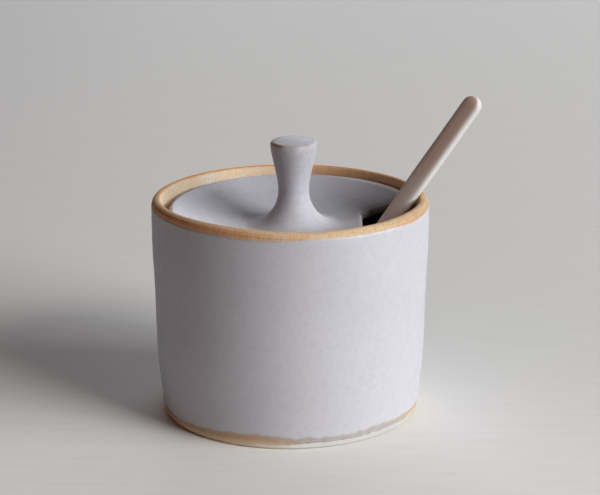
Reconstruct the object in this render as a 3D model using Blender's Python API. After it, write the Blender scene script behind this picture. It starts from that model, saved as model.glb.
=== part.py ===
"""A stoneware spice jar with a sunken lid, and a wooden spoon that stands in the lid's notch.

Metres, +Z up. The jar's axis is the Z axis and its foot stands on Z = 0.
The notch in the lid opens towards +X, and the spoon leans that way.
"""

import math

import bmesh
import bpy
from mathutils import Matrix, Vector

MM = 0.001

# Gap left between pieces that rest on each other.
TOUCH_GAP = 0.3 * MM

# Jar body.
JAR_HEIGHT = 71 * MM
RIM_RADIUS = 45 * MM
FOOT_RADIUS = 41.9 * MM
FOOT_CHAMFER = 1 * MM
SIDE_CURVE = 2.2
WALL = 4.2 * MM
FLOOR = 5 * MM
FLOOR_ROUND = 7 * MM
RIM_WALL = 2.9 * MM
LIP_OUTER_ROUND = 1.8 * MM
LIP_INNER_ROUND = 0.7 * MM

# Gallery: the step inside the rim, whose ledge carries the lid.
GALLERY_DEPTH = 7 * MM
GALLERY_ROUND = 0.6 * MM
LEDGE_WIDTH = 5.4 * MM
LEDGE_THICKNESS = 3.4 * MM
LEDGE_SLOPE = 4.5 * MM
LEDGE_ROUND = 0.6 * MM

# Lid. The side clearance is the same at the gallery wall and at the ledge.
LID_CLEARANCE = 1.4 * MM
LID_EDGE = 3.6 * MM
LID_EDGE_TOP_ROUND = 1.4 * MM
LID_EDGE_LOW_ROUND = 0.6 * MM
LID_WALL = 3.4 * MM
DISH_DEPTH = 6.1 * MM
DISH_CURVE = 1.7

# Knob, measured up from the dish's lowest ring. The bends are shares of the height from neck to top.
KNOB_HEIGHT = 28.2 * MM
KNOB_TOP_RADIUS = 7.5 * MM
KNOB_TOP_ROUND = 0.8 * MM
KNOB_DIP = 0.5 * MM
KNOB_INTURN = 0.2 * MM
KNOB_BEND = 0.2
NECK_RADIUS = 5 * MM
NECK_HEIGHT = 11.7 * MM
NECK_BEND = 0.35
NECK_FILLET = 9.4 * MM
FILLET_END_DEG = 262

# Spoon: handle, bowl, and the way it leans.
SPOON_LENGTH = 120 * MM
HANDLE_WIDTH = 7.2 * MM
HANDLE_THICKNESS = 3.2 * MM
HANDLE_SQUARENESS = 3.0
BOWL_WIDTH = 10.6 * MM
BOWL_DEPTH = 4 * MM
BOWL_WALL = 1.2 * MM
BOWL_TIP_TO_WIDEST = 10.5 * MM
BOWL_WIDEST_TO_HANDLE = 15.5 * MM
BOWL_RIM_CROWN = 0.3 * MM
SPOON_LEAN = math.radians(34)
SPOON_ROLL = math.radians(36)

# Notch in the lid, cut to let the spoon's bowl through.
NOTCH_SIDE_CLEARANCE = 6.2 * MM
NOTCH_END_CLEARANCE = 0.5 * MM
NOTCH_CORNER = 3 * MM

# Finishes: colour and roughness.
JAR_FINISH = ((0.5, 0.49, 0.52), 0.55)
LID_FINISH = ((0.48, 0.47, 0.51), 0.55)
WOOD_FINISH = ((0.66, 0.58, 0.48), 0.6)

# Facets.
TURN_STEPS = 64
ARC_STEPS = 5
SMALL_ARC_STEPS = 3
SIDE_STEPS = 9
KNOB_TOP_STEPS = 2
KNOB_SIDE_STEPS = 8
FILLET_STEPS = 9
DISH_STEPS = 7
BOWL_STEPS = 8
TAPER_STEPS = 9
HANDLE_END_STEPS = 7
RING_POINTS = 28
RING_HALF = RING_POINTS // 2
HOLLOW_SEGMENTS = 24
HOLLOW_RINGS = 16
MERGE_DISTANCE = 0.01 * MM

# Places worked out from the sizes above.
GALLERY_RADIUS = RIM_RADIUS - RIM_WALL
LEDGE_RADIUS = GALLERY_RADIUS - LEDGE_WIDTH
LEDGE_Z = JAR_HEIGHT - GALLERY_DEPTH
LID_RADIUS = GALLERY_RADIUS - LID_CLEARANCE
LID_STEP_RADIUS = LEDGE_RADIUS - LID_CLEARANCE
LID_SHIFT = LID_CLEARANCE - TOUCH_GAP
LID_SEAT_Z = LEDGE_Z + TOUCH_GAP
DISH_FLOOR = LID_EDGE - DISH_DEPTH


def clear_scene():
    for obj in list(bpy.data.objects):
        bpy.data.objects.remove(obj, do_unlink=True)


def steps(start, end, count):
    """count + 1 even values from start to end."""
    return [start + (end - start) * i / count for i in range(count + 1)]


def arc(centre, radius, start_deg, end_deg, count=ARC_STEPS):
    """Points of an arc in the outline's (radius, height) plane."""
    angles = [math.radians(a) for a in steps(start_deg, end_deg, count)]
    return [(centre[0] + radius * math.cos(a), centre[1] + radius * math.sin(a)) for a in angles]


def bezier(first, near_first, near_last, last, count):
    points = []
    for t in steps(0, 1, count):
        u = 1 - t
        shares = (u**3, 3 * u * u * t, 3 * u * t * t, t**3)
        corners = (first, near_first, near_last, last)
        points.append(tuple(sum(s * c[axis] for s, c in zip(shares, corners)) for axis in (0, 1)))
    return points


def side_radius(height):
    """Outside radius of the jar, widening from the foot and nearly upright under the rim."""
    below_rim = max(0.0, 1 - height / JAR_HEIGHT)
    return RIM_RADIUS - (RIM_RADIUS - FOOT_RADIUS) * below_rim**SIDE_CURVE


def jar_outline():
    """Half section of the jar, from the middle of the floor over the rim to the middle of the foot."""
    floor_top = FLOOR + FLOOR_ROUND
    ledge_bottom = LEDGE_Z - LEDGE_THICKNESS
    slope_bottom = ledge_bottom - LEDGE_SLOPE
    lip_bottom = JAR_HEIGHT - LIP_OUTER_ROUND
    points = [(0, FLOOR)]
    points += arc((side_radius(floor_top) - WALL - FLOOR_ROUND, floor_top), FLOOR_ROUND, -90, 0)
    points += [(side_radius(z) - WALL, z) for z in steps(floor_top, slope_bottom, SIDE_STEPS)[1:]]
    ledge_low = (LEDGE_RADIUS + LEDGE_ROUND, ledge_bottom + LEDGE_ROUND)
    ledge_top = (LEDGE_RADIUS + LEDGE_ROUND, LEDGE_Z - LEDGE_ROUND)
    gallery_corner = (GALLERY_RADIUS - GALLERY_ROUND, LEDGE_Z + GALLERY_ROUND)
    lip_inner = (GALLERY_RADIUS + LIP_INNER_ROUND, JAR_HEIGHT - LIP_INNER_ROUND)
    points += arc(ledge_low, LEDGE_ROUND, 225, 180, SMALL_ARC_STEPS)
    points += arc(ledge_top, LEDGE_ROUND, 180, 90, SMALL_ARC_STEPS)
    points += arc(gallery_corner, GALLERY_ROUND, 270, 360, SMALL_ARC_STEPS)
    points += arc(lip_inner, LIP_INNER_ROUND, 180, 90, SMALL_ARC_STEPS)
    points += arc((RIM_RADIUS - LIP_OUTER_ROUND, lip_bottom), LIP_OUTER_ROUND, 90, 0)
    points += [(side_radius(z), z) for z in steps(lip_bottom, FOOT_CHAMFER, SIDE_STEPS)[1:]]
    points += [(side_radius(FOOT_CHAMFER) - FOOT_CHAMFER, 0), (0, 0)]
    return points


def dish_top(radius):
    """Height of the lid's upper face, above the underside of its edge."""
    inner = NECK_RADIUS + NECK_FILLET
    outer = LID_RADIUS - LID_EDGE_TOP_ROUND
    across = max(0.0, (radius - inner) / (outer - inner))
    return DISH_FLOOR + DISH_DEPTH * across**DISH_CURVE


def lid_outline():
    """Half section of the lid, from the knob's top down its outside to the middle of the underside."""
    knob_top = DISH_FLOOR + KNOB_HEIGHT
    neck_z = DISH_FLOOR + NECK_HEIGHT
    fillet_z = DISH_FLOOR + NECK_FILLET
    fillet_r = NECK_RADIUS + NECK_FILLET
    edge_r = LID_RADIUS - LID_EDGE_TOP_ROUND
    rim_r = KNOB_TOP_RADIUS - KNOB_TOP_ROUND
    rim_z = knob_top - KNOB_TOP_ROUND
    side_height = rim_z - neck_z
    dips = [(r, KNOB_DIP * (1 - (r / rim_r) ** 2)) for r in steps(0, rim_r, KNOB_TOP_STEPS)[:-1]]
    points = [(r, knob_top - dip) for r, dip in dips]
    points += arc((rim_r, rim_z), KNOB_TOP_ROUND, 90, 0)
    knob_bend = (KNOB_TOP_RADIUS - KNOB_INTURN, rim_z - side_height * KNOB_BEND)
    neck_bend = (NECK_RADIUS, neck_z + side_height * NECK_BEND)
    side_start = (KNOB_TOP_RADIUS, rim_z)
    side_end = (NECK_RADIUS, neck_z)
    points += bezier(side_start, knob_bend, neck_bend, side_end, KNOB_SIDE_STEPS)[1:]
    points += arc((fillet_r, fillet_z), NECK_FILLET, 180, FILLET_END_DEG, FILLET_STEPS)
    points += [(r, dish_top(r)) for r in steps(fillet_r, edge_r, DISH_STEPS)[1:-1]]
    points += arc((edge_r, LID_EDGE - LID_EDGE_TOP_ROUND), LID_EDGE_TOP_ROUND, 90, 0)
    low_round = (LID_RADIUS - LID_EDGE_LOW_ROUND, LID_EDGE_LOW_ROUND)
    points += arc(low_round, LID_EDGE_LOW_ROUND, 0, -90, SMALL_ARC_STEPS)
    points += [(LID_STEP_RADIUS, 0)]
    points += [(r, dish_top(r) - LID_WALL) for r in steps(LID_STEP_RADIUS, fillet_r, DISH_STEPS)]
    points += [(0, DISH_FLOOR - LID_WALL)]
    return points


def handle_ring():
    """Rounded oblong section of the handle, as (across, up) points, going round below first."""
    power = 2 / HANDLE_SQUARENESS
    points = []
    for i in range(RING_POINTS):
        angle = 2 * math.pi * i / RING_POINTS
        across = math.copysign(abs(math.cos(angle)) ** power, math.cos(angle))
        down = math.copysign(abs(math.sin(angle)) ** power, math.sin(angle))
        points.append(Vector((HANDLE_WIDTH / 2 * across, -HANDLE_THICKNESS / 2 * down)))
    return points


def reach(points, towards):
    """How far a section reaches from the handle's axis in one direction."""
    return max(p.dot(towards) for p in points)


# The leaning spoon's section plane: outwards is down and away from the jar's axis.
OUTWARDS = Vector((-math.sin(SPOON_ROLL), -math.cos(SPOON_ROLL)))
SIDEWAYS = Vector((math.cos(SPOON_ROLL), -math.sin(SPOON_ROLL)))
HANDLE_REACH = reach(handle_ring(), OUTWARDS)
# The bowl is raised on the handle until its back reaches no further out than the handle's.
BOWL_BACK_REACH = math.hypot(BOWL_WIDTH / 2 * OUTWARDS.x, BOWL_DEPTH * OUTWARDS.y)
BOWL_RIM = (BOWL_BACK_REACH - HANDLE_REACH) / math.cos(SPOON_ROLL)


def bowl_ring(scale):
    """Section through the bowl: half an ellipse below the rim, and a slight crown above it."""
    points = []
    for i in range(RING_POINTS):
        angle = 2 * math.pi * i / RING_POINTS
        height = BOWL_DEPTH if i < RING_HALF else BOWL_RIM_CROWN
        across = BOWL_WIDTH / 2 * scale * math.cos(angle)
        points.append(Vector((across, BOWL_RIM - height * scale * math.sin(angle))))
    return points


def spoon_axis_at_ledge():
    """X of the handle's axis at the ledge's height, with the handle leaning on the ledge's inner edge."""
    corner = max(handle_ring(), key=lambda p: p.dot(OUTWARDS))
    edge_x = math.sqrt(LEDGE_RADIUS**2 - corner.dot(SIDEWAYS) ** 2)
    return edge_x - (HANDLE_REACH + TOUCH_GAP) / math.cos(SPOON_LEAN)


def notch_end_x():
    """X of the notch's inner wall, which the bowl passes when the spoon is drawn out."""
    bowl_reach = max(reach(bowl_ring(1), -OUTWARDS), reach(handle_ring(), -OUTWARDS))
    underside = LID_SEAT_Z + DISH_FLOOR - LID_WALL - LEDGE_Z
    passing = spoon_axis_at_ledge() + underside * math.tan(SPOON_LEAN)
    return passing - (bowl_reach + NOTCH_END_CLEARANCE) / math.cos(SPOON_LEAN)


def make_material(name, finish):
    colour, roughness = finish
    material = bpy.data.materials.new(name)
    material.use_nodes = True
    shader = material.node_tree.nodes["Principled BSDF"]
    shader.inputs["Base Color"].default_value = (*colour, 1)
    shader.inputs["Roughness"].default_value = roughness
    shader.inputs["Metallic"].default_value = 0
    return material


def make_object(name, mesh):
    obj = bpy.data.objects.new(name, mesh)
    bpy.context.scene.collection.objects.link(obj)
    return obj


def make_turned(name, outline, material):
    """A solid turned round Z from its half section, which starts and ends on the axis."""
    mesh = bpy.data.meshes.new(name)
    edges = [(i, i + 1) for i in range(len(outline) - 1)]
    mesh.from_pydata([(r, 0, z) for r, z in outline], edges, [])
    obj = make_object(name, mesh)
    mesh.materials.append(material)
    screw = obj.modifiers.new("Turn", "SCREW")
    screw.axis = "Z"
    screw.steps = TURN_STEPS
    screw.render_steps = TURN_STEPS
    screw.use_merge_vertices = True
    screw.merge_threshold = MERGE_DISTANCE
    screw.use_smooth_shade = True
    return obj


def make_mesh_object(name, shape):
    bmesh.ops.recalc_face_normals(shape, faces=shape.faces)
    mesh = bpy.data.meshes.new(name)
    shape.to_mesh(mesh)
    shape.free()
    return make_object(name, mesh)


def cut(obj, cutter):
    """Cuts one object with another, which moves with it and stays out of the render."""
    cutter.parent = obj
    cutter.hide_render = True
    cutter.display_type = "WIRE"
    boolean = obj.modifiers.new(cutter.name, "BOOLEAN")
    boolean.operation = "DIFFERENCE"
    boolean.solver = "EXACT"
    boolean.object = cutter


def make_notch_cutter(end_x):
    """A tall block with two round corners at the notch's inner end, in the lid's own frame."""
    half_width = BOWL_WIDTH / 2 + NOTCH_SIDE_CLEARANCE
    corner_x = end_x + NOTCH_CORNER
    corner_y = half_width - NOTCH_CORNER
    outside_x = LID_RADIUS + LID_CLEARANCE
    outline = [(outside_x, half_width)]
    outline += arc((corner_x, corner_y), NOTCH_CORNER, 90, 180)
    outline += arc((corner_x, -corner_y), NOTCH_CORNER, 180, 270)
    outline += [(outside_x, -half_width)]
    bottom = DISH_FLOOR - 2 * LID_WALL
    top = LID_EDGE + LID_WALL
    shape = bmesh.new()
    face = shape.faces.new([shape.verts.new((x, y, bottom)) for x, y in outline])
    extruded = bmesh.ops.extrude_face_region(shape, geom=[face])
    raised = [item for item in extruded["geom"] if isinstance(item, bmesh.types.BMVert)]
    bmesh.ops.translate(shape, verts=raised, vec=(0, 0, top - bottom))
    return make_mesh_object("notch_cutter", shape)


def spoon_rings():
    """(height along the handle, section) from near the bowl's tip to near the handle's end."""
    handle = handle_ring()
    rings = []
    for turn in steps(0, math.pi / 2, BOWL_STEPS)[1:]:
        rings.append((BOWL_TIP_TO_WIDEST * (1 - math.cos(turn)), bowl_ring(math.sin(turn))))
    for along in steps(0, 1, TAPER_STEPS)[1:]:
        share = along * along * (3 - 2 * along)
        section = [b.lerp(h, share) for b, h in zip(bowl_ring(1), handle)]
        rings.append((BOWL_TIP_TO_WIDEST + BOWL_WIDEST_TO_HANDLE * along, section))
    end_start = SPOON_LENGTH - HANDLE_WIDTH / 2
    for turn in steps(0, math.pi / 2, HANDLE_END_STEPS)[:-1]:
        narrow = math.cos(turn)
        thin = math.sqrt(narrow)
        section = [Vector((p.x * narrow, p.y * thin)) for p in handle]
        rings.append((end_start + HANDLE_WIDTH / 2 * math.sin(turn), section))
    return rings


def make_spoon_blank():
    """The spoon before its bowl is hollowed: X across, Y up out of the bowl, Z along the handle."""
    shape = bmesh.new()
    tip = shape.verts.new((0, BOWL_RIM, 0))
    end = shape.verts.new((0, 0, SPOON_LENGTH))
    loops = [[shape.verts.new((p.x, p.y, z)) for p in section] for z, section in spoon_rings()]
    for low, high in zip(loops, loops[1:]):
        for i in range(RING_POINTS):
            after = (i + 1) % RING_POINTS
            shape.faces.new((low[i], low[after], high[after], high[i]))
    for i in range(RING_POINTS):
        after = (i + 1) % RING_POINTS
        shape.faces.new((tip, loops[0][after], loops[0][i]))
        shape.faces.new((end, loops[-1][i], loops[-1][after]))
    return make_mesh_object("spoon", shape)


def make_hollow_cutter():
    """The ellipsoid that hollows the bowl."""
    shape = bmesh.new()
    sizes = (BOWL_WIDTH / 2 - BOWL_WALL, BOWL_DEPTH - BOWL_WALL, BOWL_TIP_TO_WIDEST - BOWL_WALL)
    place = Matrix.Translation((0, BOWL_RIM + BOWL_RIM_CROWN, BOWL_TIP_TO_WIDEST))
    bmesh.ops.create_uvsphere(
        shape,
        u_segments=HOLLOW_SEGMENTS,
        v_segments=HOLLOW_RINGS,
        radius=1,
        matrix=place @ Matrix.Diagonal((*sizes, 1)),
    )
    return make_mesh_object("hollow_cutter", shape)


def place_spoon(spoon):
    """Leans the spoon on the ledge's inner edge, with its bowl standing on the jar's floor."""
    turn = Matrix.Rotation(SPOON_LEAN, 4, "Y") @ Matrix.Rotation(math.pi / 2 + SPOON_ROLL, 4, "Z")
    lowest = min((turn @ vertex.co).z for vertex in spoon.data.vertices)
    tip_z = FLOOR + TOUCH_GAP - lowest
    tip_x = spoon_axis_at_ledge() - (LEDGE_Z - tip_z) * math.tan(SPOON_LEAN)
    spoon.matrix_world = Matrix.Translation((tip_x, 0, tip_z)) @ turn


def make_jar_body():
    return make_turned("jar_body", jar_outline(), make_material("jar_glaze", JAR_FINISH))


def make_lid():
    lid = make_turned("lid", lid_outline(), make_material("lid_glaze", LID_FINISH))
    lid.location = (LID_SHIFT, 0, LID_SEAT_Z)
    cut(lid, make_notch_cutter(notch_end_x() - LID_SHIFT))
    return lid


def make_spoon():
    spoon = make_spoon_blank()
    spoon.data.materials.append(make_material("pale_wood", WOOD_FINISH))
    spoon.data.shade_smooth()
    cut(spoon, make_hollow_cutter())
    place_spoon(spoon)
    return spoon


def main():
    clear_scene()
    make_jar_body()
    make_lid()
    spoon = make_spoon()
    bpy.context.view_layer.update()
    print("spoon tip", [round(value / MM, 3) for value in spoon.matrix_world.translation], "mm")
    print("spoon draw direction", [round(value, 6) for value in spoon.matrix_world.col[2][:3]])


main()
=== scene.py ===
"""The looks of a stoneware spice jar with a sunken lid and a wooden spoon.

Shapes are worked out in millimetres in the frame's axes and become metres when a mesh is made.
Angles round the jar are counted from +X, where the lid's notch is, and -90 degrees faces the camera.
"""

import math

import bpy
import numpy as np
from mathutils import Matrix, Vector, noise


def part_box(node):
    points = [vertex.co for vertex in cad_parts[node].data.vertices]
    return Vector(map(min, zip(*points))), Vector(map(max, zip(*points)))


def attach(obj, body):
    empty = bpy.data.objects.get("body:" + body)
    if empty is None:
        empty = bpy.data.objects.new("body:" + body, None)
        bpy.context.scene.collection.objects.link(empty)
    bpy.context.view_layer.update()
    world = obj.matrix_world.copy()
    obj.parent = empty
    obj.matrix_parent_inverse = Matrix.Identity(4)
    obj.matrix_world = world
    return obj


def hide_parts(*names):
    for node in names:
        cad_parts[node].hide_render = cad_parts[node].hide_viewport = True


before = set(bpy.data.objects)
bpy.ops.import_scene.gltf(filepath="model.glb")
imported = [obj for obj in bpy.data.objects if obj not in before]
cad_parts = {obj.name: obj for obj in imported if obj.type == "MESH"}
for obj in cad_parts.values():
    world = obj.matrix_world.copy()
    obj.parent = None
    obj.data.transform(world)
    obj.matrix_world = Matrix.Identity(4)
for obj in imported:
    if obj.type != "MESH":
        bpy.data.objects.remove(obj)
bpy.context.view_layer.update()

MM = 0.001

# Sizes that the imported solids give.
jar_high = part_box("jar_body")[1] / MM
lid_low, lid_high = (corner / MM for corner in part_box("lid"))
RIM_RADIUS = jar_high.y
JAR_HEIGHT = jar_high.z
LID_RADIUS = lid_high.y
LID_X = lid_low.x + LID_RADIUS
KNOB_TOP_Z = lid_high.z

# Jar body.
FOOT_RADIUS = 41.9
FOOT_CHAMFER = 0.5
SIDE_CURVE = 2.2
SIDE_WAVE = 0.24
SIDE_WAVE_LOW = 6.0
SIDE_WAVE_HIGH = 54.0
WALL = 4.2
FLOOR = 5.0
FLOOR_ROUND = 7.0
RIM_WALL = 2.9
LIP_OUTER_ROUND = 1.8
LIP_INNER_ROUND = 0.7
GALLERY_DEPTH = 7.0
GALLERY_ROUND = 0.6
LEDGE_WIDTH = 5.4
LEDGE_THICKNESS = 3.4
LEDGE_SLOPE = 4.5
LEDGE_ROUND = 0.6
GALLERY_RADIUS = RIM_RADIUS - RIM_WALL
LEDGE_RADIUS = GALLERY_RADIUS - LEDGE_WIDTH
LEDGE_Z = JAR_HEIGHT - GALLERY_DEPTH
LEDGE_LOW_Z = LEDGE_Z - LEDGE_THICKNESS
RIM_RISE_FROM = 52.0

# How the meshes are divided: points round the jar and the spoon, rings across the lid's dish, the first ring
# round an axis, and the heights at the jar's foot and rim where rings lie close.
JAR_STEPS = 360
SPOON_STEPS = 64
DISH_RINGS = 46
FIRST_RING = 0.6
KNOB_FIRST_RING = 0.4
FINE_FOOT = 7
FINE_RIM = 4

# Marks of throwing. Lines on the wall: depth, radians a millimetre, turns round the jar and start. Lines
# scored into the rim: millimetres in from its edge or down from its top, depth, width and seed.
WALL_LINES = ((0.02, 0.95, 1, 0), (0.012, 2.3, -1, 1))
FLOOR_LINE_DEPTH = 0.12
FLOOR_LINE_WAVES = 1.1
RIM_TOP_LINES = ((0.9, 0.1, 0.14, 1), (1.6, 0.14, 0.14, 2), (2.2, 0.08, 0.12, 3))
RIM_SIDE_LINES = ((0.7, 0.06, 0.16, 4), (1.5, 0.06, 0.16, 5))
RIM_TOP_DEPTH = 1.2
EDGE_MARGIN = 0.5

# Glaze and bare clay: how thick glaze lies on the clay, how far below the ledge it starts inside, the depths
# that stand for full glaze and for none, the bands of iron and of pale chips with painted highlight along
# its edge under the rim, how far the clay is toasted where no table says, and how much of it is streaked
# by wiping.
GLAZE_THICKNESS = 0.16
INSIDE_GLAZE_DROP = 2.0
FULL_GLAZE = 3.0
JAR_BARE = -3.0
LID_BARE = -2.0
RIM_IRON_WIDTH = 0.4
RIM_PALE_DROP = 0.25
RIM_PALE_WIDTH = 0.55
INSIDE_TOAST = 0.15
LID_TOAST = 0.5
WIPED = 1.0
UNWIPED = 0.25

# What changes round the jar, as (degrees, value). The first four are in millimetres: how far the rim rises
# above level, how much of it is bare, and how high the foot's brown and cream lines lie.
RIM_RISE = (
    (-180, 0.4), (-160, 0.9), (-139, 1.3), (-126, 1.4), (-113, 1.25), (-101, 1.0), (-92, 0.7), (-82, 0.6),
    (-71, 0.6), (-60, 0.68), (-45, 0.72), (-30, 1.0), (-15, 0.85), (0, 0.6), (20, 0.25), (45, 0.0),
    (120, 0.0), (150, 0.1),
)
RIM_BARE = (
    (-180, 1.9), (-139, 2.55), (-126, 2.5), (-113, 2.8), (-101, 2.7), (-92, 2.3), (-82, 1.85), (-71, 1.8),
    (-60, 2.0), (-45, 2.1), (-30, 2.9), (0, 2.6), (40, 1.8), (120, 1.6),
)
FOOT_BROWN_LINE = (
    (-142, 2.9), (-120, 4.1), (-104, 4.7), (-94, 4.1), (-88, 3.6), (-83, 4.2), (-78, 3.6), (-72, 4.0),
    (-65, 3.7), (-54, 4.4), (-47, 4.4), (-25, 4.0), (20, 3.4), (70, 4.0), (120, 3.2), (170, 3.8),
)
FOOT_CREAM_LINE = (
    (-122, 1.05), (-100, 1.5), (-80, 1.85), (-62, 2.0), (-48, 2.2), (-25, 1.8), (60, 1.5), (140, 1.2),
)

# How brown the glaze breaks where it thins out, and how brown and dark the far side of the knob's top edge
# is made.
RIM_IRON = ((-180, 0.6), (-130, 0.75), (-100, 0.5), (-75, 0.15), (-20, 0.1), (30, 0.5), (120, 0.6))
FOOT_IRON = (
    (-180, 0.75), (-140, 0.8), (-100, 0.75), (-90, 0.68), (-82, 0.62), (-70, 0.6), (-50, 0.6), (-33, 0.62),
    (-24, 0.76), (0, 0.74), (90, 0.7),
)
KNOB_IRON = (
    (-180, 0.3), (-155, 0.8), (-140, 1.1), (-122, 1.0), (-108, 0.6), (-90, 0.55), (-60, 0.5), (-30, 0.4),
    (30, 0.1), (90, 0.2), (140, 0.2),
)
KNOB_BACK_EDGE = (
    (-180, 0.9), (-165, 0.3), (-150, 0.0), (0, 0.0), (15, 0.5), (60, 0.6), (80, 0.4), (100, 1.0),
    (150, 1.0),
)

# How far the bare clay is toasted, from cream to orange.
RIM_TOAST = (
    (-180, 0.5), (-140, 0.42), (-113, 0.36), (-92, 0.28), (-60, 0.28), (-30, 0.4), (0, 0.45), (40, 0.7),
    (130, 0.6),
)
RIM_SIDE_TOAST = (
    (-180, 0.9), (-140, 0.88), (-115, 0.8), (-95, 0.53), (-75, 0.43), (-60, 0.43), (-30, 0.5), (0, 0.55),
    (40, 0.8), (130, 0.8),
)
FOOT_TOAST = (
    (-150, 0.35), (-120, 0.3), (-98, 0.12), (-88, 0.0), (-60, -0.1), (-40, -0.1), (-25, 0.1), (60, 0.2),
    (120, 0.3),
)
GALLERY_TOAST = ((-180, 0.22), (-90, 0.5), (0, 0.5), (40, 0.54), (75, 0.52), (95, 0.32), (130, 0.2))

# How dark things are made: painted shade on the rim's side, most round its right, the rim's scored lines,
# painted shade on the foot's bare clay round its right, and painted shade low in the gallery by the spoon.
RIM_SIDE_SHADE = (
    (-180, 0.2), (-140, 0.0), (-105, 0.0), (-80, 0.1), (-45, 0.55), (-25, 0.85), (0, 0.85), (30, 0.3),
    (60, 0.0),
)
RIM_GROOVES = ((-180, 1.0), (-145, 1.0), (-118, 0.55), (-60, 0.6), (-35, 1.6), (0, 1.6), (40, 0.5))
FOOT_SHADE = ((-180, 0.0), (-100, 0.0), (-88, 0.35), (-72, 0.8), (-40, 1.15), (0, 0.6), (60, 0.0))
GALLERY_SHADE = ((-180, 0.0), (-8, 0.0), (5, 1.0), (24, 1.0), (38, 0.0))
GALLERY_SHADE_DARK = 2.6
GALLERY_SHADE_LOW = 1.4
GALLERY_SHADE_HIGH = 4.2

# How pale the glaze's edge is made: chips with painted highlight on the rim and the knob, and painted
# highlight along the lid's edge.
RIM_CHIPS_AND_HIGHLIGHT = (
    (-180, 0.0), (-105, 0.0), (-90, 0.15), (-75, 0.6), (-65, 1.0), (-55, 0.9), (-40, 0.5), (-20, 0.45),
    (0, 0.2), (20, 0.0),
)
KNOB_CHIPS_AND_HIGHLIGHT = ((-180, 0.0), (-120, 0.1), (-100, 0.4), (-80, 0.5), (-50, 0.5), (-10, 0.3), (40, 0.0))
LID_EDGE_HIGHLIGHT = ((-180, 0.0), (15, 0.0), (28, 1.0), (50, 1.0), (70, 0.4), (90, 0.0))

# Lid.
LID_SEAT_GAP = 0.3
LID_SEAT_Z = LEDGE_Z + LID_SEAT_GAP
LID_CLEARANCE = GALLERY_RADIUS - LID_RADIUS
LID_STEP_RADIUS = LEDGE_RADIUS - LID_CLEARANCE
LID_STEP_BLEND = 0.35
LID_EDGE = 3.6
LID_EDGE_TOP_ROUND = 1.4
LID_EDGE_LOW_ROUND = 0.6
LID_FLAT_RADIUS = LID_RADIUS - LID_EDGE_TOP_ROUND
LID_WALL = 3.4
LID_GLAZE_RADIUS = 39.7
LID_UNDER_GLAZE_RADIUS = 33.5
LID_TILT = 0.35
LID_TILT_ANGLE = math.radians(50)
DISH_DEPTH = 6.1
DISH_CURVE = 1.7
DISH_INNER_RADIUS = 14.4
DISH_FLOOR = LID_EDGE - DISH_DEPTH
DISH_LINE_DEPTH = 0.008
DISH_LINE_WAVES = 1.5
NOTCH_END_FROM_AXIS = 23.6
NOTCH_END_X = NOTCH_END_FROM_AXIS - LID_X
NOTCH_HALF_WIDTH = 11.5
NOTCH_INNER_CORNER = 3.0
NOTCH_OUTER_CORNER = 2.5
NOTCH_ROUND = 1.5
NOTCH_BACK_ROUND = 2.4
NOTCH_LOW_ROUND = 0.9

# The notch's cut faces: glaze from the top down, the painted highlight on the inner end, and the painted
# shadow on the back wall and on the dish beside it.
NOTCH_TOP_GLAZE = 1.2
NOTCH_WALL_GLAZE = 0.9
NOTCH_WALL_GLAZE_FALL = 0.6
NOTCH_LOW_GLAZE = 0.1
NOTCH_END_HIGHLIGHT = 0.75
NOTCH_WALL_SHADOW = 3.1
NOTCH_DISH_SHADOW = NOTCH_WALL_SHADOW * 0.8
NOTCH_SHADOW_REACH = 8.0

# Knob: its shape, and the bands of iron, of pale chips with painted highlight, and of darkening at its top
# edge.
KNOB_TOP = KNOB_TOP_Z - LID_SEAT_Z
KNOB_TOP_RADIUS = 7.5
KNOB_TOP_ROUND = 1.1
KNOB_CROWN = 0.6
KNOB_INTURN = 0.05
KNOB_BEND = 0.26
NECK_RADIUS = 5.0
NECK_FILLET = 11.7
NECK_Z = DISH_FLOOR + NECK_FILLET
NECK_BEND = 0.35
FILLET_END_DEG = 262
HUB_MARGIN = 1.0
KNOB_EDGE_DROP = 0.5
KNOB_EDGE_WIDTH = 0.6
KNOB_EDGE_REACH = 1.0
KNOB_PALE_DROP = 0.8
KNOB_PALE_WIDTH = 0.35
KNOB_VEIL = 0.2
KNOB_VEIL_RISE = 0.1
BACK_EDGE_REACH = 3.0
BACK_EDGE_DROP = 0.2
BACK_EDGE_BROWN = 0.72
BACK_EDGE_DARK = 0.9

# Spoon. A span is a stretch along it, from its tip, over which something sets in.
SPOON_LENGTH = 120.0
HANDLE_WIDTH = 6.6
HANDLE_THICKNESS = 3.2
HANDLE_SQUARENESS = 3.3
HANDLE_TWIST = math.radians(12)
HANDLE_TWIST_SPAN = (66, 92)
HANDLE_SWELL = 0.12
HANDLE_SWELL_SPAN = (84, 98)
HANDLE_WANDER = 0.12
HANDLE_WANDER_SPAN = (30, 50)
# The narrow sides are paler: sanded, and with painted highlight on the lit side.
HANDLE_SIDE = (0.55, 0.95)
HANDLE_SIDE_SPAN = (20, 34)
# The handle is paler low down, painted light reflected from the jar and its lid.
HANDLE_REFLECTED_LIGHT_SPAN = (100, 80)
BOWL_WIDTH = 10.6
BOWL_DEPTH = 4.0
BOWL_CROWN = 0.3
BOWL_WALL = 1.2
BOWL_TIP_TO_WIDEST = 10.5
BOWL_WIDEST_TO_HANDLE = 15.5
SPOON_LEAN = math.radians(34)
SPOON_ROLL = math.radians(36)
SPOON_TIP = Vector((-7.049, 0, 4.641))

# Camera, in millimetres and radians, as the photograph was taken.
CAMERA_PLACE = Vector((0, -674.33, 255.71))
CAMERA_PITCH = 0.2906
CAMERA_YAW = 0.0047
SENSOR_WIDTH = 36.0
FOCAL_PIXELS = 2149.48
IMAGE_WIDTH = 600

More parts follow.
